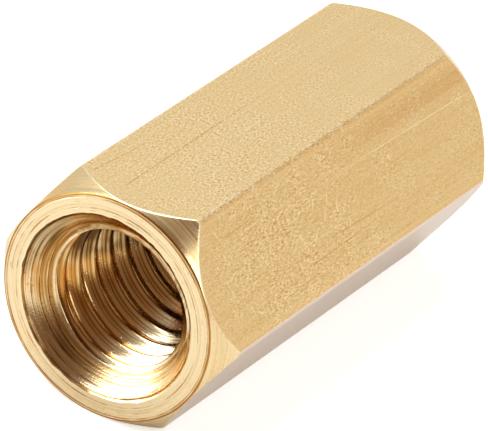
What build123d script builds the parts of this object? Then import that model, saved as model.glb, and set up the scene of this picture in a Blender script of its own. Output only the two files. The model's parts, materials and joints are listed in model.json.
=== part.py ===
"""Hex standoff: a short piece of hexagon brass bar, chamfered at both ends and tapped right through.

Sizes are in millimetres. The standoff lies on one of its six flats with its long axis along X, and
the origin is in the middle of the flat that it lies on.
"""

import os
from math import ceil, radians, tan

from build123d import *

# Hexagon bar, with corners slightly rounded by drawing
ACROSS_FLATS = 7.0
LENGTH = 15.0
CORNER_RADIUS = 0.22

# Turned ends: a flat ring, and a chamfer that takes off the six corners
FACE_DIAMETER = 6.94
CHAMFER_ANGLE = 56.0  # degrees between the end face and the chamfer

# Countersink at each end of the hole
MOUTH_DIAMETER = 5.78
COUNTERSINK_ANGLE = 90.0  # degrees, from one side of the cone to the other

# Tapped hole, metric 5 x 0.8, right-hand
DRILL_DIAMETER = 4.3
THREAD_DIAMETER = 5.0
THREAD_PITCH = 0.8
FLANK_ANGLE = 30.0  # degrees between a flank and a plane across the hole
GROOVE_FLOOR = THREAD_PITCH / 8
GROOVE_START = -0.085  # from the end face at -X to the middle of the groove where its first turn begins
GROOVE_START_ANGLE = 40.0  # degrees round the hole from the flat that it lies on, where a turn begins

# How far the cutting forms reach past the metal that they take away
CLEARANCE = 0.1
SWING = 0.7 * ACROSS_FLATS  # a radius outside the corners

HALF = LENGTH / 2


def revolved(points):
    """The solid that an outline of (radius, height) points sweeps out around the axis."""
    return revolve(Plane.XZ * make_face(Polyline(*points, close=True)), Axis.Z)


def hexagon_bar():
    """The drawn bar, upright, cut to length."""
    outline = RegularPolygon(ACROSS_FLATS / 2, 6, major_radius=False, rotation=90)
    return extrude(fillet(outline.vertices(), CORNER_RADIUS), HALF, both=True)


def turned_form():
    """The round form that the bar is turned to: two end faces, each with a cone widening away from it."""
    face = FACE_DIAMETER / 2
    top = HALF - (SWING - face) * tan(radians(CHAMFER_ANGLE))
    return revolved([(0, -HALF), (face, -HALF), (SWING, -top), (SWING, top), (face, HALF), (0, HALF)])


def drilled_hole():
    """The hole before tapping: straight through, with a countersink at each end."""
    drill = DRILL_DIAMETER / 2
    mouth = MOUTH_DIAMETER / 2
    foot = HALF - (mouth - drill) / tan(radians(COUNTERSINK_ANGLE / 2))
    return revolved([(0, -HALF), (mouth, -HALF), (drill, -foot), (drill, foot), (mouth, HALF), (0, HALF)])


def groove_turn():
    """One turn of the thread groove, wide at the drilled wall and narrowing to a flat floor."""
    floor = THREAD_DIAMETER / 2
    inside = DRILL_DIAMETER / 2 - CLEARANCE
    narrow = GROOVE_FLOOR / 2
    wide = narrow + (floor - inside) * tan(radians(FLANK_ANGLE))
    outline = Polyline((inside, -wide), (floor, -narrow), (floor, narrow), (inside, wide), close=True)
    path = Helix(THREAD_PITCH, THREAD_PITCH, DRILL_DIAMETER / 2)
    return sweep(Plane.XZ * make_face(outline), path=path, is_frenet=True)


def thread_groove():
    """Turns of the groove, one after another, from outside one end face to outside the other."""
    first = Pos(0, 0, GROOVE_START - HALF) * Rot(0, 0, GROOVE_START_ANGLE) * groove_turn()
    count = ceil((LENGTH - GROOVE_START) / THREAD_PITCH)
    return [Pos(0, 0, turn * THREAD_PITCH) * first for turn in range(count)]


def hex_standoff():
    """The finished standoff, laid down on one flat."""
    blank = (hexagon_bar() & turned_form()) - drilled_hole()
    upright = blank - thread_groove()
    return Pos(0, 0, ACROSS_FLATS / 2) * Rot(0, 90, 0) * upright


os.makedirs("parts", exist_ok=True)
export_step(hex_standoff(), "parts/hex_standoff.step")
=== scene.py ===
# %% [markdown]
# A hex standoff is a spacer that holds two boards a fixed distance apart. It starts as hexagon brass
# bar. A lathe cuts it off, faces the end, chamfers the corners, drills and countersinks the hole, and
# a tap cuts the thread. Each of those steps leaves its own marks, and the marks are what this lesson
# is about. The plain solid comes in first, as a fixed frame that nothing here may move.

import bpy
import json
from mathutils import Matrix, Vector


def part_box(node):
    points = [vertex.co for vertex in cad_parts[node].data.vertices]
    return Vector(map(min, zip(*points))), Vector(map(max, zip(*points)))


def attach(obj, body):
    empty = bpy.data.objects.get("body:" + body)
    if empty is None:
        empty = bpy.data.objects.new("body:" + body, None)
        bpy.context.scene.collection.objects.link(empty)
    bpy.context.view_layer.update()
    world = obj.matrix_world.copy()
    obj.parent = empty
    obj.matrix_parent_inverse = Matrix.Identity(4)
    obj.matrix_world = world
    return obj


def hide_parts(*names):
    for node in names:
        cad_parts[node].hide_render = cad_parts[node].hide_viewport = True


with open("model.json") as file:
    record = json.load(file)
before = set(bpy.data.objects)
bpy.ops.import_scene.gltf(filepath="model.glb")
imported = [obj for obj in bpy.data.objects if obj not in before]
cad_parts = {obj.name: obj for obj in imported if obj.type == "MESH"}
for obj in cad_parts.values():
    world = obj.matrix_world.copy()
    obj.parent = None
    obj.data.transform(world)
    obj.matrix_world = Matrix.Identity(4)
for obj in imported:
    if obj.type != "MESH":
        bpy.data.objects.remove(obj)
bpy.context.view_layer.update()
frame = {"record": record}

# %% Tools for this lesson
import json
from collections import namedtuple
from math import atan, ceil, cos, floor, pi, radians, sin, sqrt, tan

import bpy
from mathutils import Matrix, Vector, noise

# %% [markdown]
# The main sizes are read from the frame, so the dressed part can't drift away from the solid. The
# smaller ones are the machinist's own: the corner left by drawing the bar, the face that the lathe
# turned, the chamfer, the countersink and the thread. They are metres, written as millimetres.

# %% Sizes of the standoff
MM = 0.001
low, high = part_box("hex_standoff")
LENGTH = high.x - low.x
APOTHEM = (high.z - low.z) / 2
AXIS_HEIGHT = low.z + APOTHEM
START = low.x

CORNER_RADIUS = 0.22 * MM
FACE_RADIUS = 3.47 * MM
CHAMFER_SLOPE = tan(radians(56))
MOUTH_RADIUS = 2.89 * MM

mounts = {mount["name"]: mount for mount in frame["record"]["mounts"]}
CREST_RADIUS = mounts["thread"]["dims"]["r_mm"] * MM
ROOT_RADIUS = 2.5 * MM
PITCH = 0.8 * MM
print("length", LENGTH, "across flats", 2 * APOTHEM, "crest radius", CREST_RADIUS)

# %% [markdown]
# The outside is a hexagon with soft corners. A polar formula gives the distance from the axis at any
# angle: a straight side is the apothem over a cosine, and near a corner a small arc takes over. One
# formula is easier to keep true than six planes and six fillets. Corners are at 0, 60, 120 degrees
# and so on, with the first one towards +Y.

# %% The hexagon as a formula
SIXTH = pi / 3
ROUND_HALF = SIXTH / 2 - atan((APOTHEM - CORNER_RADIUS) * tan(SIXTH / 2) / APOTHEM)


def hexagon_radius(angle):
    """Distance from the axis to the outside of the bar at this angle."""
    to_corner = abs((angle + SIXTH / 2) % SIXTH - SIXTH / 2)
    if to_corner > ROUND_HALF:
        return APOTHEM / cos(SIXTH / 2 - to_corner)
    centre = (APOTHEM - CORNER_RADIUS) / cos(SIXTH / 2)
    return centre * cos(to_corner) + sqrt(CORNER_RADIUS**2 - (centre * sin(to_corner)) ** 2)


print("corner to corner, in mm:", round(2 * hexagon_radius(0) / MM, 3))

# %% [markdown]
# The thread is a groove that winds along the hole. At any angle its middle sits at a known depth, and
# one turn later it sits a pitch deeper. The distance from that middle gives the radius: a narrow floor,
# two flanks at 30 degrees, and a crest. A tap squeezes metal up as it backs out, so the crest is a
# narrow ridge on the side of the near end, a little inside the drilled wall, and it falls away behind.
# A tap's own corners are never sharp, so ridge and floor both run softly into the flanks. The softer of
# two limits is a sum with a square root.

# %% The thread as a formula
GROOVE_FLOOR = PITCH / 8
GROOVE_START = -0.085 * MM
GROOVE_START_ANGLE = radians(40 - 90)
FLANK_STEEPNESS = 1 / tan(radians(30))
RIDGE_RADIUS = CREST_RADIUS - 0.04 * MM
RIDGE_SOFTNESS = 0.04 * MM
RIDGE_FALL = 0.46
FLOOR_SOFTNESS = 0.1 * MM
RIDGE_PLACE = GROOVE_FLOOR / 2 + (ROOT_RADIUS - RIDGE_RADIUS) / FLANK_STEEPNESS


def soft_limit(value, softness):
    """The value, or 0 where it is negative, with a soft turn between the two."""
    return (value + sqrt(value * value + softness * softness)) / 2


def groove_middle(angle):
    """Depth of the groove's middle below the near end face, for its first turn."""
    return GROOVE_START + PITCH * (angle - GROOVE_START_ANGLE) / (2 * pi)


def thread_radius(angle, depth):
    """Distance from the axis to the tapped wall."""
    turns = (depth - groove_middle(angle)) / PITCH
    past = (turns - floor(turns)) * PITCH
    off = min(past, PITCH - past)
    flank = ROOT_RADIUS - (off - GROOVE_FLOOR / 2) * FLANK_STEEPNESS
    behind = RIDGE_RADIUS + max(0, past - RIDGE_PLACE) * RIDGE_FALL
    inside = behind + soft_limit(flank - behind, RIDGE_SOFTNESS)
    return ROOT_RADIUS - soft_limit(ROOT_RADIUS - inside, FLOOR_SOFTNESS)


print("thread depth, in mm:", round((thread_radius(0, groove_middle(0)) - RIDGE_RADIUS) / MM, 3))

# %% [markdown]
# The countersink is a 90 degree cone. The cutter chattered as it came in, so the cone is a stair of
# shallow terraces. They catch the light, so they go into the mesh and not only into the material. The
# same cut pushed a thin lip of metal over the start of the thread. The cutter was a little off the
# axis, so the lip is wider on the upper side. Screws have worn it back below, and it is open where the
# groove runs out of the hole.

# %% The countersink as a formula
End = namedtuple("End", "seed run_out off_axis")
NEAR_END = End(3.1, radians(168), 0.05 * MM)
FAR_END = End(7.7, radians(83), 0.0)
OFF_AXIS_TOWARDS = radians(-19)

TERRACES = 4
TERRACE_ROWS = [0, 0.07, 0.14, 0.2, 0.35, 0.6, 0.85]
TERRACE_EDGE = 0.5
TERRACE_RISER = 0.2
TERRACE_STEP = 0.04 * MM
TERRACE_WANDER = 0.05
TERRACE_FADE = 5
TERRACE_WAVES = 1.7
LIP_WIDTH = 0.01 * MM
LIP_OFF_AXIS = 0.15 * MM
LIP_SIDE = radians(105)
LIP_WORN = 0.08 * MM
WIPED_SHEEN_TOWARDS = radians(232)
LIP_THINNEST = 0.014 * MM
LIP_ROUND = 0.01 * MM
LIP_EDGE = 0.8
LIP_WAVES = [(4, 0.25), (19, 0.06)]
RUN_OUT_HALF = radians(42)


def mouth_shift(angle, end):
    """How far the mouth moves out at this angle, because the cutter ran a little off the axis."""
    return end.off_axis * cos(angle - OFF_AXIS_TOWARDS)


def terrace_cut(place):
    """How deep a terrace is cut below the plain cone: nothing at its start, most after the riser."""
    return place / TERRACE_RISER if place < TERRACE_RISER else (1 - place) / (1 - TERRACE_RISER)


def lip_radius(angle, end):
    """Inner radius of the lip, which opens where the thread runs out and is worn back on one side."""
    off = abs((angle - end.run_out + pi) % (2 * pi) - pi)
    share = max(0, 1 - off / RUN_OUT_HALF)
    worn = CREST_RADIUS + LIP_WORN * max(0, cos(angle - WIPED_SHEEN_TOWARDS))
    return worn + (ROOT_RADIUS - worn) * share * share * (3 - 2 * share)


def lip_width(angle, end):
    """Width of the lip, which is uneven and wider on one side."""
    around = Vector((cos(angle), sin(angle), end.seed))
    uneven = 1
    for closeness, height in LIP_WAVES:
        uneven += height * noise.noise(around * closeness)
    return max(LIP_THINNEST, (LIP_WIDTH + LIP_OFF_AXIS * cos(angle - LIP_SIDE)) * uneven)


def lip_depth(angle, end):
    """Depth of the countersink's foot, where the lip begins."""
    return MOUTH_RADIUS - lip_radius(angle, end) - lip_width(angle, end)


def thread_start(angle, end):
    """Depth where the thread comes out from under the lip."""
    return lip_depth(angle, end) + lip_width(angle, end) + 2 * LIP_ROUND


print("the lip is", round(lip_depth(0, NEAR_END) / MM, 3), "mm below the face")

# %% [markdown]
# The mesh is a net of columns and rows. A column is an angle around the axis, with extra ones on the
# soft corners. A row is a place on the outline, which goes from the mouth over the end face, down the
# chamfer, along the flat, over the far end and back through the hole.

# %% Columns of the net
ROUND_STEPS = 6
FLAT_STEPS = 20


def column_angles():
    """Angles around the axis, closer together on the six corners."""
    angles = []
    for corner in range(6):
        middle = corner * SIXTH
        angles += [middle + ROUND_HALF * (2 * step / ROUND_STEPS - 1) for step in range(ROUND_STEPS)]
        side = SIXTH - 2 * ROUND_HALF
        angles += [middle + ROUND_HALF + side * step / FLAT_STEPS for step in range(FLAT_STEPS)]
    return angles


COLUMNS = column_angles()
print(len(COLUMNS), "columns")

# %% [markdown]
# Every edge that a tool leaves is a little soft, and that softness is the thin bright line that runs
# around the chamfers in the photograph. A curve from one side of a corner to the other does it. Where
# the sides are short the curve shrinks with them.

# %% Soft edges
SOFT_ROWS, SHOULDER_ROWS = 4, 8
SIDE_SHARE = 0.45


def soften(before, corner, after, size, steps):
    """Points of a curve that cuts a corner of the outline."""
    back, ahead = before - corner, after - corner
    start = corner + back.normalized() * min(size, SIDE_SHARE * back.length)
    end = corner + ahead.normalized() * min(size, SIDE_SHARE * ahead.length)
    points = []
    for step in range(steps + 1):
        t = step / steps
        points.append(start * (1 - t) ** 2 + corner * 2 * t * (1 - t) + end * t * t)
    return points


def between(start, end, steps):
    """Evenly spaced points strictly between two others."""
    return [start.lerp(end, step / steps) for step in range(1, steps)]


print("a soft edge is a curve of", SOFT_ROWS + 1, "points, and the chamfer's lower one of", SHOULDER_ROWS + 1)

# %% [markdown]
# An end of the bar, at one angle, is a short outline of points: distance from the axis and depth below
# the end face. The face has the rings of the facing cut, so its rows dip a few thousandths. The mouth's
# rim is a little ragged, because the cutter left a burr there. Each point also says how much of an edge
# and how much of a groove it is, from 0 to 1: edges are painted pale, for wear and as painted highlights,
# and grooves are painted darker, the line on the face's outer edge being painted shade.

# %% Outline of an end
DRAWN, FACED, CHAMFERED, SUNK, TAPPED = range(5)
Dot = namedtuple("Dot", "place finish edge groove")
RIM_SOFTNESS = 0.035 * MM
FACE_SOFTNESS = 0.05 * MM
EDGE_SOFTNESS = 0.048 * MM
RING_DEPTH = 0.018 * MM
RING_WIDTH = 0.03 * MM
RING_WANDER = 0.5 * RING_WIDTH
RINGS = [(2.965, 0.5), (3.06, 0.9), (3.13, 0.35), (3.235, 0.7), (3.3, 0.4), (3.385, 1.0)]
RING_ROWS = 40
RING_WAVES, FADE_WAVES = 1.5, 2.5
FADE_MIDDLE, FADE_SWING = 0.75, 0.5
RAGGED = 0.03 * MM
RAGGED_COARSE, RAGGED_FINE, FINE_SHARE = 9, 27, 0.8
LEAST_CHAMFER = 0.01 * MM
CHAMFER_ROWS = 6
SHADE_AND_BURR_EDGE = 1.6


def edge_dots(curve, finish):
    """Dots of a soft edge, which is most of an edge in its middle."""
    last = len(curve) - 1
    return [Dot(point, finish, sin(pi * place / last), 0) for place, point in enumerate(curve)]


def ring_cut(radius, around):
    """How deep the facing tool's rings are here, from 0 to 1. They wander and fade along their length,
    each in its own way, because its radius moves it to other noise."""
    deepest = 0
    for ring, strength in RINGS:
        wander = RING_WANDER * noise.noise(around * RING_WAVES + Vector((ring, 0, 0)) * 5)
        fade = FADE_MIDDLE + FADE_SWING * noise.noise(around * FADE_WAVES + Vector((0, ring, 0)) * 7)
        away = (radius - ring * MM - wander) / RING_WIDTH
        deepest = max(deepest, strength * fade * max(0, 1 - away * away))
    return min(1, deepest)


def end_outline(angle, end):
    """Dots from the countersink's rim to the start of the flat."""
    around = Vector((cos(angle), sin(angle), end.seed))
    ragged = RAGGED * (noise.noise(around * RAGGED_COARSE) + FINE_SHARE * noise.noise(around * RAGGED_FINE))
    hexagon = hexagon_radius(angle)
    rim = Vector((MOUTH_RADIUS + mouth_shift(angle, end) + ragged, 0))
    inside = rim + Vector((-2 * RIM_SOFTNESS, 2 * RIM_SOFTNESS))
    face = Vector((min(FACE_RADIUS, hexagon - LEAST_CHAMFER), 0))
    shoulder = Vector((hexagon, (hexagon - face.x) * CHAMFER_SLOPE))
    along = shoulder + Vector((0, LENGTH / 4))
    rim_curve = soften(inside, rim, face, RIM_SOFTNESS, SOFT_ROWS)
    face_curve = soften(rim, face, shoulder, FACE_SOFTNESS, SOFT_ROWS)
    shoulder_curve = soften(face, shoulder, along, EDGE_SOFTNESS, SHOULDER_ROWS)
    outline = edge_dots(rim_curve, FACED)
    for point in between(rim_curve[-1], face_curve[0], RING_ROWS):
        cut = ring_cut(point.x, around)
        outline.append(Dot(point + Vector((0, RING_DEPTH * cut)), FACED, 0, cut))
    # The edge between face and chamfer counts as a groove, so it is painted as a dark line: painted shade
    # along it, and a burr.
    for dot in edge_dots(face_curve, CHAMFERED):
        outline.append(dot._replace(edge=0, groove=min(1, SHADE_AND_BURR_EDGE * dot.edge)))
    chamfer = between(face_curve[-1], shoulder_curve[0], CHAMFER_ROWS)
    outline += [Dot(point, CHAMFERED, 0, 0) for point in chamfer]
    outline += edge_dots(shoulder_curve, CHAMFERED)
    outline.append(Dot(shoulder_curve[-1] + Vector((0, 0.5 * EDGE_SOFTNESS)), DRAWN, 0, 0))
    return outline


print(len(end_outline(0, NEAR_END)), "rows on each end")

# %% [markdown]
# Rows of the thread run along the groove and not straight round the hole. After a full turn a row
# arrives one pitch deeper, so there the net joins each row to the row one pitch on. Edges of the mesh
# then follow the crests, and the thread needs far fewer faces. Rows that would start outside the hole
# gather on the ring where the thread begins.

# %% Rows of the thread
GROOVE_PLACES = [0, 0.04, 0.08, 0.12, 0.16, 0.2, 0.225, 0.245, 0.26, 0.275, 0.29, 0.31, 0.34, 0.39]
GROOVE_PLACES += [0.45, 0.51, 0.56, 0.6, 0.64, 0.68, 0.72, 0.76]
GROOVE_ROWS = [place * MM for place in GROOVE_PLACES]
TURNS = range(-2, ceil(LENGTH / PITCH) + 2)
RIDGE_EDGE = 0.05 * MM
DIRTY_FROM, DIRTY_TO = 0.14 * MM, 0.3 * MM


def thread_depths(angle):
    """Depths of the thread's rows at this angle, kept between the two lips."""
    first = thread_start(angle, NEAR_END)
    last = LENGTH - thread_start(angle, FAR_END)
    middles = [groove_middle(angle) + turn * PITCH for turn in TURNS]
    return [min(max(middle + place, first), last) for middle in middles for place in GROOVE_ROWS]


def thread_dot(angle, depth):
    """A dot of the thread, an edge on the ridge and a groove near the floor."""
    radius = thread_radius(angle, depth)
    above = radius - RIDGE_RADIUS
    edge = max(0, 1 - above / RIDGE_EDGE)
    groove = min(1, max(0, (above - DIRTY_FROM) / (DIRTY_TO - DIRTY_FROM)))
    return Dot(Vector((radius, depth)), TAPPED, edge, groove)


print(len(TURNS) * len(GROOVE_ROWS), "rows in the thread")

# %% [markdown]
# Now the net is tied. Each column gives its outside points and its thread points, and points that
# gathered in one place share one vertex. Faces carry the number of their finish: drawn flats, faced
# end, chamfer, countersink or thread.

# %% Dots of one column
FLAT_ROWS = 14
LIP_CURVE = [(0, 2), (0.3, 0.5), (1, 0)]
LIP_TOP_ACROSS, LIP_TOP_RISE, LIP_RISE = 0.8, 0.1, 0.3
CONE_TOP = 1.5 * RIM_SOFTNESS
DIRT_SPREAD = 1.4 * TERRACE_RISER


def hole_dots(angle, end):
    """Dots from the thread's start over the lip and up the countersink to its rim."""
    inner, width, foot = lip_radius(angle, end), lip_width(angle, end), lip_depth(angle, end)
    lip = [Vector((inner + out * LIP_ROUND, foot + down * LIP_ROUND)) for out, down in LIP_CURVE]
    lip.append(Vector((inner + LIP_TOP_ACROSS * width, foot - LIP_TOP_RISE * width)))
    dots = [Dot(point, SUNK, LIP_EDGE, 0) for point in lip]
    bottom = foot - LIP_RISE * width
    wander = TERRACE_WANDER * noise.noise(Vector((cos(angle), sin(angle), end.seed)) * TERRACE_WAVES)
    for terrace in reversed(range(TERRACES)):
        for place in reversed(TERRACE_ROWS):
            share = (terrace + place) / TERRACES
            share += 4 * share * (1 - share) * wander
            depth = CONE_TOP + (bottom - CONE_TOP) * share
            shift = mouth_shift(angle, end) * (1 - share)
            cut = TERRACE_STEP * terrace_cut(place) * min(1, TERRACE_FADE * share)
            radius = MOUTH_RADIUS + shift - depth + cut
            groove = max(0, 1 - abs(place - TERRACE_RISER / 2) / DIRT_SPREAD)
            edge = TERRACE_EDGE if place == TERRACE_ROWS[-1] else 0
            dots.append(Dot(Vector((radius, depth)), SUNK, edge, groove))
    return dots


def ridge_edge(angle):
    """How much of an edge the bar is at this angle: 1 on a corner, 0 on a flat."""
    to_corner = abs((angle + SIXTH / 2) % SIXTH - SIXTH / 2)
    return max(0, 1 - to_corner / ROUND_HALF)


def from_far_end(dots):
    """The same dots at the far end of the bar, in the order from the flat inwards."""
    return [dot._replace(place=Vector((dot.place.x, LENGTH - dot.place.y))) for dot in reversed(dots)]


def outside_dots(angle):
    """The outline at this angle from the thread's start over the outside to its far end."""
    near = hole_dots(angle, NEAR_END) + end_outline(angle, NEAR_END)
    far = from_far_end(hole_dots(angle, FAR_END) + end_outline(angle, FAR_END))
    first, last = near[-1].place, far[0].place
    flat = [first] + between(first, last, FLAT_ROWS) + [last]
    return near[:-1] + [Dot(point, DRAWN, ridge_edge(angle), 0) for point in flat] + far[1:]


def place_in_frame(angle, point):
    """The frame's place for a distance from the axis and a depth."""
    return (START + point.y, point.x * cos(angle), AXIS_HEIGHT + point.x * sin(angle))


print(len(outside_dots(0)), "dots in a column, without the thread's")

# %% Tie the net
vertices, edges, grooves, outside, thread = [], [], [], [], []
finishes = [dot.finish for dot in outside_dots(COLUMNS[0])]


def add_vertex(angle, dot):
    """Adds a dot to the mesh's lists and returns its number."""
    vertices.append(place_in_frame(angle, dot.place))
    edges.append(dot.edge)
    grooves.append(dot.groove)
    return len(vertices) - 1


for angle in COLUMNS:
    outside.append([add_vertex(angle, dot) for dot in outside_dots(angle)])
    numbers = {}
    for depth in thread_depths(angle):
        if depth not in numbers:
            numbers[depth] = add_vertex(angle, thread_dot(angle, depth))
    thread.append([numbers[depth] for depth in thread_depths(angle)])
print(len(vertices), "vertices")

# %% Faces of the net
faces, face_finish = [], []


def add_face(corners, finish):
    """Keeps a face's different corners, and leaves out a face that has shrunk to a line."""
    corners = list(dict.fromkeys(corners))
    if len(corners) > 2:
        faces.append(corners)
        face_finish.append(finish)


def thread_vertex(column, row):
    """A vertex of the thread, where the column after the last is the first, a pitch deeper."""
    if column == len(COLUMNS):
        column, row = 0, row + len(GROOVE_ROWS)
    return thread[column][min(row, len(thread[0]) - 1)]


for column in range(len(COLUMNS)):
    here, there = outside[column], outside[(column + 1) % len(COLUMNS)]
    for row in range(len(here) - 1):
        finish = finishes[row] if finishes[row] != DRAWN else finishes[row + 1]
        add_face([here[row], here[row + 1], there[row + 1], there[row]], finish)
    for row in range(len(thread[0]) - 1):
        corners = [thread_vertex(column, row), thread_vertex(column + 1, row)]
        corners += [thread_vertex(column + 1, row + 1), thread_vertex(column, row + 1)]
        add_face(corners, TAPPED)
    ring_start = [thread_vertex(column, 0), here[0], there[0], thread_vertex(column + 1, 0)]
    add_face(ring_start, SUNK)
    ring_end = [here[-1], thread_vertex(column, len(thread[0]) - 1)]
    ring_end += [thread_vertex(column + 1, len(thread[0]) - 1), there[-1]]
    add_face(ring_end, SUNK)
print(len(faces), "faces")

# %% [markdown]
# The net becomes one mesh, because the standoff is one piece of brass. Faces are shaded smooth, and
# only edges sharper than the soft ones stay sharp. The piece takes the place of the plain solid and rides
# on the one body that the part has.

# %% The standoff's mesh
SHARP_EDGE = radians(50)
mesh = bpy.data.meshes.new("turned_standoff")
mesh.from_pydata(vertices, [], faces)
mesh.polygons.foreach_set("material_index", face_finish)
mesh.polygons.foreach_set("use_smooth", [True] * len(mesh.polygons))
mesh.attributes.new("edge", "FLOAT", "POINT").data.foreach_set("value", edges)
mesh.attributes.new("groove", "FLOAT", "POINT").data.foreach_set("value", grooves)
mesh.validate()
mesh.set_sharp_from_angle(angle=SHARP_EDGE)
mesh.update()
standoff = bpy.data.objects.new("turned_standoff", mesh)
bpy.context.scene.collection.objects.link(standoff)
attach(standoff, "root")
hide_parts("hex_standoff")
mesh.calc_loop_triangles()
print(len(mesh.loop_triangles), "triangles")

# %% [markdown]
# Materials are node trees, and small helpers keep them readable. They add a node, feed a socket with
# either a link or a plain value, do sums, mix colours, make noise, and build and place groups.

# %% Helpers for node trees
MIX_COLOUR_INPUTS, MIX_COLOUR_RESULT = (0, 6, 7), 2


def add(tree, kind, **settings):
    """Adds a shader node and sets its options."""
    node = tree.nodes.new("ShaderNode" + kind)
    for name, value in settings.items():
        setattr(node, name, value)
    return node


def feed(tree, socket, source):
    """Links a socket to another, or gives it a plain value."""
    if isinstance(source, bpy.types.NodeSocket):
        tree.links.new(source, socket)
    else:
        socket.default_value = source


def sums(tree, operation, *values):
    """A Math node's result."""
    node = add(tree, "Math", operation=operation)
    for socket, value in zip(node.inputs, values):
        feed(tree, socket, value)
    return node.outputs[0]


def total(tree, start, *parts):
    """A number to start from, and the sum of pairs of a value and its share."""
    result = start
    for value, share in parts:
        result = sums(tree, "MULTIPLY_ADD", value, share, result)
    return result


def stretch(tree, value, low, high, to_low=0.0, to_high=1.0):
    """Maps one range of a value onto another, softly and without running over."""
    node = add(tree, "MapRange", interpolation_type="SMOOTHSTEP")
    for socket, source in zip(node.inputs, (value, low, high, to_low, to_high)):
        feed(tree, socket, source)
    return node.outputs[0]


def blend(tree, factor, first, second, how="MIX"):
    """Mixes two colours. The node has sockets for other kinds too, so those for colours go by number."""
    node = add(tree, "Mix", data_type="RGBA", blend_type=how)
    for number, source in zip(MIX_COLOUR_INPUTS, (factor, first, second)):
        feed(tree, node.inputs[number], source)
    return node.outputs[MIX_COLOUR_RESULT]


def speckle(tree, place, scale, detail=2.0):
    """A noise pattern's value at a place given in millimetres."""
    node = add(tree, "TexNoise")
    feed(tree, node.inputs["Vector"], place)
    feed(tree, node.inputs["Scale"], scale)
    feed(tree, node.inputs["Detail"], detail)
    return node.outputs["Fac"]


def new_group(name, inputs, outputs):
    """A shader node group with named inputs, which are numbers or places, and outputs."""
    group = bpy.data.node_groups.new(name, "ShaderNodeTree")
    for title, value in inputs.items():
        kind = "NodeSocketFloat" if isinstance(value, float) else "NodeSocketVector"
        group.interface.new_socket(title, in_out="INPUT", socket_type=kind).default_value = value
    for title, kind in outputs.items():
        group.interface.new_socket(title, in_out="OUTPUT", socket_type="NodeSocket" + kind)
    return group, group.nodes.new("NodeGroupInput").outputs, group.nodes.new("NodeGroupOutput").inputs


def use(tree, group, **values):
    """Places a group in a tree and returns its outputs."""
    node = add(tree, "Group", node_tree=group)
    for title, source in values.items():
        feed(tree, node.inputs[title], source)
    return node.outputs


def made(group):
    """Says what a group holds, and hands it on."""
    print("group", group.name, "has", len(group.nodes), "nodes")
    return group


def scaled(tree, vector, factor):
    """A vector times a number."""
    node = add(tree, "VectorMath", operation="SCALE")
    feed(tree, node.inputs[0], vector)
    feed(tree, node.inputs["Scale"], factor)
    return node.outputs[0]


def vectors(tree, operation, first, second, result="Value"):
    """A Vector Math node's result."""
    node = add(tree, "VectorMath", operation=operation)
    feed(tree, node.inputs[0], first)
    feed(tree, node.inputs[1], second)
    return node.outputs[result]


def millimetres(tree):
    """The place on the part, in millimetres."""
    return scaled(tree, add(tree, "TexCoord").outputs["Object"], 1 / MM)


def drawn_out(tree, scale):
    """The place on the part with its axes scaled, so that a pattern there is drawn out."""
    node = add(tree, "Mapping")
    feed(tree, node.inputs["Vector"], millimetres(tree))
    feed(tree, node.inputs["Scale"], scale)
    return node.outputs[0]


# %% [markdown]
# Most marks on turned work run round the axis, so materials need to know where they are on the bar.
# The first group turns a point into numbers: how far along the bar, how far from the axis, where across
# the thread's pitch, and how far from the nearest ridge of the hexagon. It works in millimetres.

# %% Group: place on the bar
def place_group():
    """Numbers that say where on the bar a point is."""
    outputs = {"Along": "Float", "Radius": "Float", "Winding": "Float", "Ridge": "Float"}
    tree, _, out = new_group("place_on_bar", {}, outputs)
    point = add(tree, "SeparateXYZ")
    feed(tree, point.inputs[0], millimetres(tree))
    along, side = point.outputs[0], point.outputs[1]
    rise = sums(tree, "SUBTRACT", point.outputs[2], AXIS_HEIGHT / MM)
    squares = sums(tree, "ADD", sums(tree, "MULTIPLY", side, side), sums(tree, "MULTIPLY", rise, rise))
    radius = sums(tree, "SQRT", squares)
    angle = sums(tree, "ARCTAN2", rise, side)
    turn = sums(tree, "DIVIDE", angle, 2 * pi)
    winding = sums(tree, "SUBTRACT", sums(tree, "DIVIDE", along, PITCH / MM), turn)
    to_corner = sums(tree, "PINGPONG", angle, SIXTH / 2)
    feed(tree, out["Along"], along)
    feed(tree, out["Radius"], radius)
    feed(tree, out["Winding"], sums(tree, "FRACT", winding))
    feed(tree, out["Ridge"], sums(tree, "DIVIDE", sums(tree, "MULTIPLY", to_corner, radius), cos(SIXTH / 2)))
    return tree


PLACE = made(place_group())

# %% [markdown]
# Turning marks are fine lines side by side. A noise that changes quickly across the lines and hardly
# at all along them gives both their height and a light and dark tone.

# %% Group: turning marks
def turning_group():
    """Lines that follow the cut, from a number that grows across them."""
    inputs = {"Across": 0.0, "Lines": 14.0, "Drift": 0.6}
    tree, given, out = new_group("turning_marks", inputs, {"Height": "Float", "Tone": "Float"})
    loose = speckle(tree, scaled(tree, millimetres(tree), given["Drift"]), 1.0, 1.0)
    lane = add(tree, "CombineXYZ")
    feed(tree, lane.inputs[0], sums(tree, "MULTIPLY", given["Across"], given["Lines"]))
    feed(tree, lane.inputs[1], loose)
    fine = speckle(tree, lane.outputs[0], 1.0, 3.0)
    broad = speckle(tree, lane.outputs[0], 0.35, 1.0)
    feed(tree, out["Height"], sums(tree, "MULTIPLY_ADD", broad, 0.5, fine))
    feed(tree, out["Tone"], stretch(tree, sums(tree, "MULTIPLY_ADD", broad, 0.6, fine), 0.6, 1.0))
    return tree


TURNING = made(turning_group())

# %% [markdown]
# Seen close, handled brass is peppered: bright specks where the grain was crushed flat, partly painted
# glints, and dark ones where a pit holds dirt. Pits come in patches, and drawing has stretched the grain
# along the bar. One group makes both at any size, with a height for the bump.

# %% Group: grain
GRAIN_STRETCH = (0.4, 1, 1)
PIT_COARSENESS = 0.45
PATCHES_PER_MM = 0.9


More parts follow.
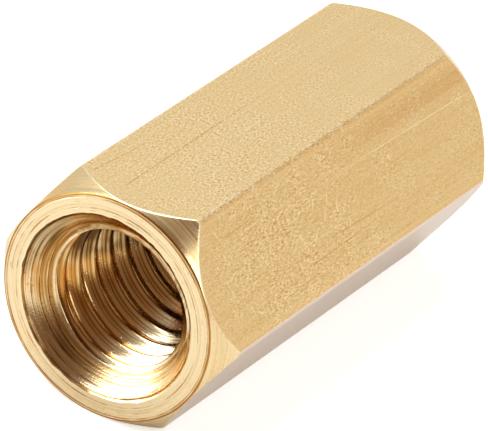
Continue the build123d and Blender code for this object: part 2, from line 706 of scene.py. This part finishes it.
def grain_group():
    """Fine bright specks, and dark pits in patches."""
    outputs = {"Height": "Float", "Speck": "Float", "Pit": "Float", "Patch": "Float"}
    tree, given, out = new_group("metal_grain", {"Size": 12.0}, outputs)
    place = millimetres(tree)
    fine = speckle(tree, drawn_out(tree, GRAIN_STRETCH), given["Size"], 4.0)
    coarse = speckle(tree, place, sums(tree, "MULTIPLY", given["Size"], PIT_COARSENESS), 2.0)
    patches = stretch(tree, speckle(tree, place, PATCHES_PER_MM, 2.0), 0.42, 0.62)
    pit = sums(tree, "MULTIPLY", stretch(tree, coarse, 0.36, 0.26), patches)
    feed(tree, out["Height"], sums(tree, "MULTIPLY_ADD", pit, -1.2, fine))
    # Bright specks: crushed grain, and partly painted glints.
    glints = stretch(tree, fine, 0.53, 0.68)
    dark_specks = stretch(tree, fine, 0.46, 0.3)
    feed(tree, out["Speck"], total(tree, 0.5, (glints, 0.5), (dark_specks, -0.5)))
    feed(tree, out["Pit"], pit)
    feed(tree, out["Patch"], patches)
    return tree


GRAIN = made(grain_group())

# %% [markdown]
# Edges are painted bright where fingers and other parts rub them, and partly as painted highlights, and
# grooves are painted darker, but neither happens evenly. The mesh says how much of an edge or a groove
# each point is, and this group breaks that up with noise into a ragged mask.

# %% Group: ragged mask
def ragged_group():
    """A mask with a ragged border, from an amount that the mesh gives."""
    inputs = {"Amount": 0.0, "Reach": 0.5, "Size": 6.0, "Breaks": 1.6}
    tree, given, out = new_group("ragged_mask", inputs, {"Mask": "Float"})
    broken = sums(tree, "SUBTRACT", speckle(tree, millimetres(tree), given["Size"], 3.0), 0.5)
    worn = sums(tree, "MULTIPLY_ADD", broken, given["Breaks"], given["Amount"])
    low = sums(tree, "SUBTRACT", 1.0, given["Reach"])
    feed(tree, out["Mask"], stretch(tree, worn, low, sums(tree, "ADD", low, 0.45)))
    return tree


RAGGED_MASK = made(ragged_group())


def ragged_mask(tree, attribute, reach, size, breaks=1.6):
    """The ragged mask of one of the mesh's attributes."""
    amount = add(tree, "Attribute", attribute_name=attribute).outputs["Fac"]
    return use(tree, RAGGED_MASK, Amount=amount, Reach=reach, Size=size, Breaks=breaks)["Mask"]


# %% [markdown]
# All finishes are the same brass, so one group holds its colour: fresh metal, a paler tone for wear and
# for painted highlights, brown where it is dull or oily and for painted shade, and nearly black for thick
# oil painted as shade and for painted dark reflections. Each material only says how much of each.

# %% Group: brass colour
FRESH_BRASS = (0.76, 0.557, 0.25, 1)
PALE_BRASS = (0.95, 0.80, 0.52, 1)
DULL_BRASS = (0.60, 0.28, 0.058, 1)
BLACK_OIL_AND_SHADE = (0.11, 0.056, 0.02, 1)


def brass_group():
    """The metal's colour from how pale, how dull and how black it is, painted light and shade among them."""
    inputs = {"Rubbed": 0.0, "Dull": 0.0, "Black": 0.0}
    tree, given, out = new_group("brass_colour", inputs, {"Color": "Color"})
    worn_and_sheen = blend(tree, given["Rubbed"], FRESH_BRASS, PALE_BRASS)
    dull = blend(tree, given["Dull"], worn_and_sheen, DULL_BRASS)
    feed(tree, out["Color"], blend(tree, given["Black"], dull, BLACK_OIL_AND_SHADE))
    return tree


BRASS = made(brass_group())

# %% [markdown]
# Every finish starts as plain metal, and its marks are pressed into it by a bump. That is cheap, and right
# for marks of a few thousandths of a millimetre, which only turn the light and don't change the outline.

# %% A metal to start each finish from
def new_metal(name):
    """A material with a metal shader, ready for its finish."""
    material = bpy.data.materials.new(name)
    material.use_nodes = True
    shader = material.node_tree.nodes["Principled BSDF"]
    shader.inputs["Metallic"].default_value = 1.0
    return material, material.node_tree, shader.inputs


def emboss(tree, shader, height, depth):
    """Bump on the shader's normal. The depth is in millimetres."""
    bump = add(tree, "Bump")
    feed(tree, bump.inputs["Height"], height)
    bump.inputs["Distance"].default_value = depth * MM
    bump.inputs["Strength"].default_value = 1.0
    feed(tree, shader["Normal"], bump.outputs[0])


# %% [markdown]
# The flats are as drawn: satin and peppered with grain, with faint lines along the bar where it was
# pulled through the die. Handling has left scratches on them. A scratch is a line between two points,
# so one group measures how far a place is from such a line. The points are put down where the
# real part has its plainest marks.

# %% Group: scratch
FADING = (1.15, 0.3)


def scratch_group():
    """A mask along a straight line, thinner and fainter towards its end."""
    inputs = {"Start": (0, 0, 0), "Run": (1, 0, 0), "Width": 0.02}
    tree, given, out = new_group("scratch", inputs, {"Mask": "Float"})
    run = given["Run"]
    away = vectors(tree, "SUBTRACT", millimetres(tree), given["Start"], "Vector")
    run_squared = vectors(tree, "DOT_PRODUCT", run, run)
    share = sums(tree, "DIVIDE", vectors(tree, "DOT_PRODUCT", away, run), run_squared)
    clamp = add(tree, "Clamp")
    feed(tree, clamp.inputs[0], share)
    along = clamp.outputs[0]
    off = vectors(tree, "DISTANCE", away, scaled(tree, run, along))
    line = stretch(tree, off, given["Width"], 0.0)
    feed(tree, out["Mask"], sums(tree, "MULTIPLY", line, stretch(tree, along, *FADING)))
    return tree


SCRATCH = made(scratch_group())

# %% Where the scratches are
FLAT_ANGLES = {"upper": radians(90), "right": radians(150), "under": radians(210)}
FLAT_BORDER = (0.1, 0.02)


def on_flat(flat, along, across):
    """A place on a flat in millimetres: along the bar from the near end, and across from its middle."""
    angle = FLAT_ANGLES[flat]
    out = APOTHEM / MM
    side = out * cos(angle) - across * sin(angle)
    rise = out * sin(angle) + across * cos(angle)
    return Vector((START / MM + along, side, AXIS_HEIGHT / MM + rise))


# Each mark has its flat, its two ends as (along, across), and its width, in millimetres
DARK_SCRATCHES = [
    ("upper", (0.9, -0.5), (9.4, -0.55), 0.035),
    ("upper", (0.8, -1.62), (3.4, -1.36), 0.035),
    ("right", (1.6, -1.18), (3.4, -1.22), 0.025),
    ("right", (5.2, 1.05), (8.8, 1.0), 0.03),
    ("right", (3.6, 1.42), (6.4, 1.36), 0.025),
    ("right", (6.4, 0.68), (10.4, 0.85), 0.025),
    ("right", (2.2, -0.62), (6.6, -0.7), 0.022),
]
BRIGHT_SCRATCHES = [
    ("right", (14.3, -0.66), (7.6, -0.86), 0.027),
    ("right", (2.85, -1.55), (3.1, -1.85), 0.033),
    ("right", (1.25, -1.5), (1.5, -1.0), 0.033),
    ("right", (5.1, -0.35), (5.35, -0.75), 0.033),
    ("right", (5.9, -0.45), (6.25, -0.85), 0.036),
    ("right", (6.6, -0.25), (6.8, -0.75), 0.039),
    ("right", (5.0, 0.12), (5.2, 0.55), 0.045),
    ("right", (5.6, 0.5), (5.9, 0.2), 0.045),
    ("right", (6.3, 0.1), (6.5, -0.2), 0.039),
    ("right", (7.0, 0.1), (7.15, -0.35), 0.036),
    ("right", (3.0, -0.1), (3.2, 0.3), 0.033),
    ("right", (1.9, 1.02), (2.05, 1.3), 0.036),
    ("right", (2.2, 1.3), (2.5, 1.42), 0.05),
    ("right", (10.0, -0.42), (10.15, -0.3), 0.045),
    ("upper", (3.2, 0.9), (3.9, 0.82), 0.03),
    ("upper", (6.0, 0.2), (6.9, 0.25), 0.03),
]
DARK_BANDS = [("right", (14.6, -1.28), (6.4, -1.45), 0.55)]


def scratches(tree, marks):
    """The masks of a list of scratches, the strongest at each place."""
    result = 0.0
    for flat, start, end, width in marks:
        first, second = on_flat(flat, *start), on_flat(flat, *end)
        mask = use(tree, SCRATCH, Start=first, Run=second - first, Width=width)["Mask"]
        result = sums(tree, "MAXIMUM", mask, result)
    return result


def whole_flat(tree, flat):
    """A mask over one flat of the bar."""
    outwards = (on_flat(flat, 0, 0) - Vector((START / MM, 0, AXIS_HEIGHT / MM))).normalized()
    level = APOTHEM / MM + outwards.z * AXIS_HEIGHT / MM
    reach = vectors(tree, "DOT_PRODUCT", millimetres(tree), outwards)
    return stretch(tree, reach, *(level - below for below in FLAT_BORDER))


print(len(DARK_SCRATCHES), "dark scratches and", len(BRIGHT_SCRATCHES), "bright ones")

# %% [markdown]
# Each layer of the drawn finish has one job. Lines and grain make the tone, ridges are painted pale for wear
# and as a painted highlight, and scratches cut through. On the right-hand flat a soft shade and then a warm
# band run beside the ridges. The flat below that one is painted grey, a painted shade for the shaded table
# that it mirrors, which hides some of the yellow.

# %% Drawn flats
UNDER_FLAT_SHADE = (0.86, 0.76, 0.67, 1)
UNDER_FLAT_SHADE_SHARE = 0.92
WARM_BRASS = (0.88, 0.63, 0.30, 1)
DIE_LINES = (0.12, 9, 9)
FLAT_GRAIN = 24.0
HANDLED_ALONG = (4.0, -5.0)
CLEANER_END = 4.5
SHADE_BORDER = (0.2, 0.08)
BAND_BORDER = (0.3, 0.18)
SATIN = (0.42, 0.3)
FLAT_RELIEF = 0.0013


def drawn_finish():
    """Satin drawn brass for the six flats."""
    material, tree, shader = new_metal("drawn_flats")
    lines = stretch(tree, speckle(tree, drawn_out(tree, DIE_LINES), 1.0, 4.0), 0.34, 0.66)
    grain = use(tree, GRAIN, Size=FLAT_GRAIN)
    place = use(tree, PLACE)
    handled = stretch(tree, place["Along"], *HANDLED_ALONG, 0.3, 1.0)
    handled = sums(tree, "MULTIPLY", handled, total(tree, 0.5, (grain["Patch"], 0.6)))
    by_end = stretch(tree, place["Along"], START / MM, START / MM + CLEANER_END, 0.5, 1.2)
    handled = sums(tree, "MULTIPLY", handled, total(tree, by_end, (whole_flat(tree, "upper"), 0.6)))
    speck = sums(tree, "MULTIPLY", sums(tree, "SUBTRACT", grain["Speck"], 0.5), handled)
    right = whole_flat(tree, "right")
    shade = sums(tree, "MULTIPLY", stretch(tree, place["Ridge"], *SHADE_BORDER), right)
    nicked = ragged_mask(tree, "edge", 0.3, 16.0, 2.0)
    # Pale ridges: wear, and partly a painted highlight.
    worn_and_sheen = ragged_mask(tree, "edge", 0.7, 7.0, 2.0)
    worn_and_sheen = sums(tree, "MULTIPLY", worn_and_sheen, total(tree, 1.0, (shade, -0.8)))
    band = sums(tree, "MULTIPLY", stretch(tree, place["Ridge"], *BAND_BORDER), right)
    dark = scratches(tree, DARK_SCRATCHES)
    bright = scratches(tree, BRIGHT_SCRATCHES)
    stain = scratches(tree, DARK_BANDS)
    tone = total(tree, 0.17, (lines, 0.09), (speck, 2.6), (grain["Patch"], 0.06))
    tone = total(tree, tone, (worn_and_sheen, 1.1), (bright, 0.9))
    dull = total(tree, 0.1, (speck, -1.6), (lines, -0.08), (grain["Pit"], 0.4), (dark, 0.7), (stain, 0.32))
    dull = total(tree, dull, (nicked, 0.3), (shade, 0.3), (bright, -0.3))
    brass = use(tree, BRASS, Rubbed=tone, Dull=dull)["Color"]
    plain = total(tree, 0.5, (worn_and_sheen, -0.4), (shade, -0.3))
    warmed = blend(tree, sums(tree, "MULTIPLY", band, plain), brass, WARM_BRASS)
    # Painted shade: the flat below is greyed for the shaded table that it mirrors.
    dark_layer = sums(tree, "MULTIPLY", whole_flat(tree, "under"), UNDER_FLAT_SHADE_SHARE)
    feed(tree, shader["Base Color"], blend(tree, dark_layer, warmed, UNDER_FLAT_SHADE))
    feed(tree, shader["Roughness"], stretch(tree, grain["Speck"], 0, 1, *SATIN))
    height = total(tree, 0.0, (lines, 0.5), (grain["Height"], 1.0), (dark, -1.5), (bright, -1.0))
    emboss(tree, shader, height, FLAT_RELIEF)
    return material


# %% [markdown]
# Cutting oil never gets wiped out of a hole, so the inside is still brown, and the brown carries painted
# shade too. A film of oil lies on one side, painted darker there as shade, and it is painted thin deep
# inside, which is painted light on the deep wall. High on the wall it is painted thick and nearly black:
# painted shade for a dark reflection. Two dark patches are painted dark reflections. On the other side,
# chips rubbed the wall clean on their way out, and that paler side is partly a painted highlight. The group
# lays all of these down by place: how far from the axis in some direction, and how deep below the nearer end.

# %% Group: oil and painted shade in the hole
LOW_REFLECTION_TOWARDS, LOW_REFLECTION_REACH, LOW_REFLECTION_SHARE = radians(306), (2.2, 2.6), 0.7
HIGH_REFLECTION_TOWARDS, HIGH_REFLECTION_REACH, HIGH_REFLECTION_SHARE = radians(25), (2.35, 2.6), 1.2
THICK_SHADE_TOWARDS, THICK_SHADE_REACH, THICK_SHADE_BY_DEPTH = radians(55), (1.3, 1.8), 0.25
THICK_SHADE_DEPTHS = (0.9, 2.2)
OIL_SHADE_DEPTHS, DEEP_OIL_SHADE = (5.5, 2.5), 0.2
WIPED_SHEEN_REACH = (1.0, 2.2)


def reach_towards(tree, angle):
    """How far a place is from the axis, measured in one direction across the bar, in millimetres."""
    side = vectors(tree, "DOT_PRODUCT", millimetres(tree), (0, cos(angle), sin(angle)))
    return sums(tree, "SUBTRACT", side, sin(angle) * AXIS_HEIGHT / MM)


def hole_masks_group():
    """Masks over the hole: a brown cutting-fluid layer on one side with painted shade, a thick dark layer
    high up that is painted shade, the paler side that is partly a painted highlight, and painted dark
    reflections.
    """
    outputs = {"Oil": "Float", "ThickOilShade": "Float", "Wiped": "Float", "Pool": "Float"}
    tree, given, out = new_group("hole_masks", {"Clean": 0.0, "Oily": -2.0}, outputs)
    across = reach_towards(tree, WIPED_SHEEN_TOWARDS)
    from_middle = sums(tree, "ABSOLUTE", use(tree, PLACE)["Along"])
    depth = sums(tree, "SUBTRACT", LENGTH / 2 / MM, from_middle)
    # Oil film on one side: oil, with painted shade on that side. It is painted thinner deep inside, which is
    # painted light on the deep wall.
    oily = stretch(tree, across, given["Clean"], given["Oily"])
    feed(tree, out["Oil"], sums(tree, "MULTIPLY", oily, stretch(tree, depth, *OIL_SHADE_DEPTHS, DEEP_OIL_SHADE, 1.0)))
    # Painted shade: thick dark oil high on the wall, standing for a dark reflection.
    higher = total(tree, reach_towards(tree, THICK_SHADE_TOWARDS), (depth, THICK_SHADE_BY_DEPTH))
    thick_shade = stretch(tree, higher, *THICK_SHADE_REACH)
    feed(tree, out["ThickOilShade"], sums(tree, "MULTIPLY", thick_shade, stretch(tree, depth, *THICK_SHADE_DEPTHS)))
    # The side that chips rubbed clean is painted paler: wear, and partly a painted highlight on that lower
    # side.
    feed(tree, out["Wiped"], stretch(tree, across, *WIPED_SHEEN_REACH))
    # Painted dark reflections: two dark patches where the countersink mirrors a dark part of the room.
    low_reflection = stretch(tree, reach_towards(tree, LOW_REFLECTION_TOWARDS), *LOW_REFLECTION_REACH, 0.0, LOW_REFLECTION_SHARE)
    high_reflection = stretch(tree, reach_towards(tree, HIGH_REFLECTION_TOWARDS), *HIGH_REFLECTION_REACH, 0.0, HIGH_REFLECTION_SHARE)
    feed(tree, out["Pool"], sums(tree, "MAXIMUM", low_reflection, high_reflection))
    return tree


HOLE_MASKS = made(hole_masks_group())

# %% [markdown]
# The end face and the chamfers were turned, so their lines are rings around the axis. The countersink's
# lines follow its terraces, and the tap's lines follow the thread. They differ only in numbers, so one
# function makes all four finishes from a row of them.

# %% Turned finishes
CUT_GRAIN = 20.0
CUT_GRAIN_RELIEF = 0.3
ROUGHNESS_SPREAD = 0.06
NAMES = "across lines depth rough pale streak dirt wiped oil soot pool clean oily tint"
PLAIN = (1, 1, 1, 1)
BROWNED = (0.8, 0.55, 0.3, 1)
Cut = namedtuple("Cut", NAMES, defaults=(0.0, 0.0, 0.0, 0.0, 0.0, -2.0, PLAIN))


def turned_finish(name, cut):
    """Brass with the lines of a cutting tool. Streak, dirt, oil, soot and
    pool are how dark its lines, its grooves, the cutting-fluid layer with its painted shade, the
    thick layer painted as shade and the painted dark reflections are. Pale and wiped lighten it all
    over and on the side that chips cleaned, where a highlight is painted too. Clean and oily are
    where the layer fades, in mm, and tint colours glancing light."""
    material, tree, shader = new_metal(name)
    marks = use(tree, TURNING, Across=use(tree, PLACE)[cut.across], Lines=cut.lines)
    grain = use(tree, GRAIN, Size=CUT_GRAIN)
    hole = use(tree, HOLE_MASKS, Clean=cut.clean, Oily=cut.oily)
    # Pale rims, terrace edges, lip and crests: wear, and partly a painted highlight.
    worn_and_sheen = ragged_mask(tree, "edge", 0.6, 7.0, 1.1)
    nicked = ragged_mask(tree, "edge", 0.1, 11.0, 1.8)
    # Grooves painted darker, with a line of painted shade on the face's outer edge.
    groove_darkening = ragged_mask(tree, "groove", 0.7, 2.5, 1.1)
    tone = total(tree, cut.pale, (marks["Tone"], 0.25 + 0.45 * cut.streak))
    tone = total(tree, tone, (grain["Speck"], 0.35), (worn_and_sheen, 0.8))
    # Paler on the wiped side: wear, and partly a painted highlight.
    tone = total(tree, tone, (hole["Wiped"], cut.wiped))
    dark_layer = total(tree, 0.7, (grain["Patch"], 0.8), (marks["Tone"], -0.5), (worn_and_sheen, -1.0))
    # Painted dark reflections, darker between the bright lines.
    pool = sums(tree, "MULTIPLY", hole["Pool"], total(tree, 1.3, (marks["Tone"], -1.0)))
    dull = total(tree, 0.5 * cut.streak, (marks["Tone"], -cut.streak), (grain["Pit"], 0.4), (nicked, 0.5))
    # Oil film, with painted shade on one side.
    dull = total(tree, dull, (sums(tree, "MULTIPLY", dark_layer, hole["Oil"]), cut.oil), (groove_darkening, cut.dirt))
    dull = total(tree, dull, (hole["Wiped"], -0.5 * cut.wiped))
    # Thick dark oil high on the wall: painted shade.
    thick_shade = sums(tree, "MULTIPLY", total(tree, dark_layer, (worn_and_sheen, 0.7)), hole["ThickOilShade"])
    black = total(tree, 0.0, (thick_shade, cut.soot), (groove_darkening, 0.3 * cut.dirt))
    black = total(tree, black, (stretch(tree, marks["Tone"], 0.4, 0.0), 0.35 * cut.streak), (pool, cut.pool))
    black = total(tree, black, (hole["Wiped"], -0.3 * cut.wiped))
    feed(tree, shader["Base Color"], use(tree, BRASS, Rubbed=tone, Dull=dull, Black=black)["Color"])
    dimmest, shiniest = cut.rough + ROUGHNESS_SPREAD, cut.rough - ROUGHNESS_SPREAD
    feed(tree, shader["Roughness"], stretch(tree, marks["Tone"], 0, 1, dimmest, shiniest))
    shader["Specular Tint"].default_value = cut.tint
    emboss(tree, shader, total(tree, marks["Height"], (grain["Height"], CUT_GRAIN_RELIEF)), cut.depth)
    return material


# %% [markdown]
# The finishes go onto the mesh in the order of the numbers that its faces carry. The thread is the
# shiniest and holds the most oil and painted shade, and the chamfer has hardly any streaks.

# %% Finishes onto the faces
FACING = Cut("Radius", 11.0, depth=0.009, rough=0.24, pale=0.14, streak=0.5, dirt=0.75)
CHAMFER = Cut("Radius", 26.0, depth=0.003, rough=0.26, pale=0.05, streak=0.1, dirt=1.1)
SINKING = Cut("Along", 18.0, depth=0.012, rough=0.2, pale=-0.25, streak=1.0, dirt=0.9)
SINKING = SINKING._replace(wiped=0.25, oil=0.7, pool=0.5, clean=-0.2, tint=BROWNED)
TAPPING = Cut("Winding", 22.0, depth=0.007, rough=0.1, pale=-0.4, streak=1.05, dirt=0.0)
TAPPING = TAPPING._replace(wiped=1.3, oil=1.0, soot=0.9, pool=0.6, clean=1.6, oily=-1.0, tint=BROWNED)
for material in (
    drawn_finish(),
    turned_finish("faced_end", FACING),
    turned_finish("turned_chamfer", CHAMFER),
    turned_finish("countersunk_cone", SINKING),
    turned_finish("tapped_thread", TAPPING),
):
    mesh.materials.append(material)
    print("finish", material.name, "has", len(material.node_tree.nodes), "nodes")

# %% [markdown]
# The stage is a white table. To the camera it glows a little, so that it looks white, as it does where a
# photograph is exposed for it. The lamps already make it nearly white where the brass mirrors it, so there
# it needs only a trace of that glow. The standoff's shadow stays.

# %% White table
TABLE_SIZE = 4.0
TABLE_GLOW = 0.52
MIRRORED_GLOW = 0.08
TABLE_COLOUR = (0.76, 0.755, 0.75, 1)
TABLE_ROUGHNESS = 0.9

table_mesh = bpy.data.meshes.new("white_table")
side = TABLE_SIZE / 2
table_corners = [(-side, -side, 0), (side, -side, 0), (side, side, 0), (-side, side, 0)]
table_mesh.from_pydata(table_corners, [], [(0, 1, 2, 3)])
table = bpy.data.objects.new("white_table", table_mesh)
bpy.context.scene.collection.objects.link(table)

table_material = bpy.data.materials.new("white_table")
table_material.use_nodes = True
table_tree = table_material.node_tree
table_shader = table_tree.nodes["Principled BSDF"].inputs
table_shader["Base Color"].default_value = TABLE_COLOUR
table_shader["Roughness"].default_value = TABLE_ROUGHNESS
table_shader["Specular IOR Level"].default_value = 0.0
table_shader["Emission Color"].default_value = (1, 1, 1, 1)
seen = add(table_tree, "LightPath").outputs
mirrored = sums(table_tree, "ADD", seen["Is Glossy Ray"], seen["Is Transmission Ray"])
glow = total(table_tree, 0.0, (seen["Is Camera Ray"], TABLE_GLOW), (mirrored, MIRRORED_GLOW))
feed(table_tree, table_shader["Emission Strength"], glow)
table_mesh.materials.append(table_material)
print("the table is", TABLE_SIZE, "metres wide")

# %% [markdown]
# Brass shows what is around it. A plain white tent would make it flat, so the tent is brightest behind
# the part and has a dim, warm opening where the camera looks in. It is a little warmer near the table
# than overhead. The opening gives the bore its browns, and the warm foot parts the right-hand flat from
# the upper one.

# %% White tent with a dim opening
OPENING = (0.225, 0.13, 0.08, 1)
OPENING_TOWARDS = Vector((-0.75, -0.3, 0.6)).normalized()
OPENING_EDGE = (cos(radians(56)), cos(radians(24)))
TENT_TOP = (0.81, 0.805, 0.8, 1)
TENT_FOOT = (0.93, 0.79, 0.62, 1)
FOOT_HEIGHTS = (0.08, 0.42)
FRONT_SHARE = 0.8
FRONT_TO_BACK = (-0.3, 0.5)

world = bpy.data.worlds.new("tent")
bpy.context.scene.world = world
world.use_nodes = True
tent = world.node_tree
towards = add(tent, "TexCoord").outputs["Generated"]
facing = vectors(tent, "DOT_PRODUCT", towards, OPENING_TOWARDS)
parts = add(tent, "SeparateXYZ")
feed(tent, parts.inputs[0], towards)
cloth = blend(tent, stretch(tent, parts.outputs[2], *FOOT_HEIGHTS), TENT_FOOT, TENT_TOP)
share = stretch(tent, parts.outputs[0], *FRONT_TO_BACK, FRONT_SHARE, 1.0)
opened = stretch(tent, facing, *OPENING_EDGE)
lit = blend(tent, 1.0, cloth, share, "MULTIPLY")
feed(tent, tent.nodes["Background"].inputs["Color"], blend(tent, opened, lit, OPENING))
print("the tent has", len(tent.nodes), "nodes")

# %% [markdown]
# Three soft boxes light the tent from inside. The tall one on the left is what burns white in the bottom
# of the hole, the right one draws the edge of the chamfer, and the top one lights the table.

# %% Soft boxes
BOX_DISTANCE = 0.35


def soft_box(name, towards, upright, width, height, brightness):
    """A rectangle of soft light that faces the standoff. The brightness is that of its face."""
    lamp = bpy.data.lights.new(name, "AREA")
    lamp.shape = "RECTANGLE"
    lamp.size, lamp.size_y = width, height
    lamp.energy = brightness * pi * width * height
    back = Vector(towards).normalized()
    across = Vector(upright).cross(back).normalized()
    turn = Matrix((across, back.cross(across), back)).transposed().to_4x4()
    box = bpy.data.objects.new(name, lamp)
    box.matrix_world = Matrix.Translation(back * BOX_DISTANCE) @ turn
    bpy.context.scene.collection.objects.link(box)
    print(name, "gives", round(lamp.energy, 3), "watts")


soft_box("left_box", (-0.52, 0.72, 0.463), (0.16, -0.545, 0.82), 0.19, 0.46, 3.9)
soft_box("right_box", (-0.25, -0.82, 0.52), (0, 0, 1), 0.2, 0.2, 2.5)
soft_box("top_box", (0.2, 0.25, 0.95), (1, 0, 0), 0.2, 0.2, 3.6)

# %% [markdown]
# The camera stands where the photograph was taken from: a long lens, well above the table, with a
# slight roll. Its place is worked out from those angles around a point in the middle of the part.

# %% Camera
LOOK_AT = Vector((-0.12, 0.06, 3.38)) * MM
CAMERA_DISTANCE = 210.8 * MM
CAMERA_AZIMUTH = radians(-62.53)
CAMERA_ELEVATION = radians(30.87)
CAMERA_ROLL = radians(10.38)
LENS = 537.1
NEAREST_SEEN = 0.01

level_right = Vector((cos(CAMERA_AZIMUTH), sin(CAMERA_AZIMUTH), 0))
towards_camera = Vector((sin(CAMERA_AZIMUTH), -cos(CAMERA_AZIMUTH), tan(CAMERA_ELEVATION))).normalized()
level_up = towards_camera.cross(level_right)
right = level_right * cos(CAMERA_ROLL) + level_up * sin(CAMERA_ROLL)
up = towards_camera.cross(right)

lens = bpy.data.cameras.new("camera")
lens.lens = LENS
lens.clip_start = NEAREST_SEEN
camera = bpy.data.objects.new("camera", lens)
turn = Matrix((right, up, towards_camera)).transposed().to_4x4()
camera.matrix_world = Matrix.Translation(LOOK_AT + towards_camera * CAMERA_DISTANCE) @ turn
bpy.context.scene.collection.objects.link(camera)
bpy.context.scene.camera = camera
bpy.context.scene.view_settings.view_transform = "Standard"
print("camera at", [round(part, 4) for part in camera.location])
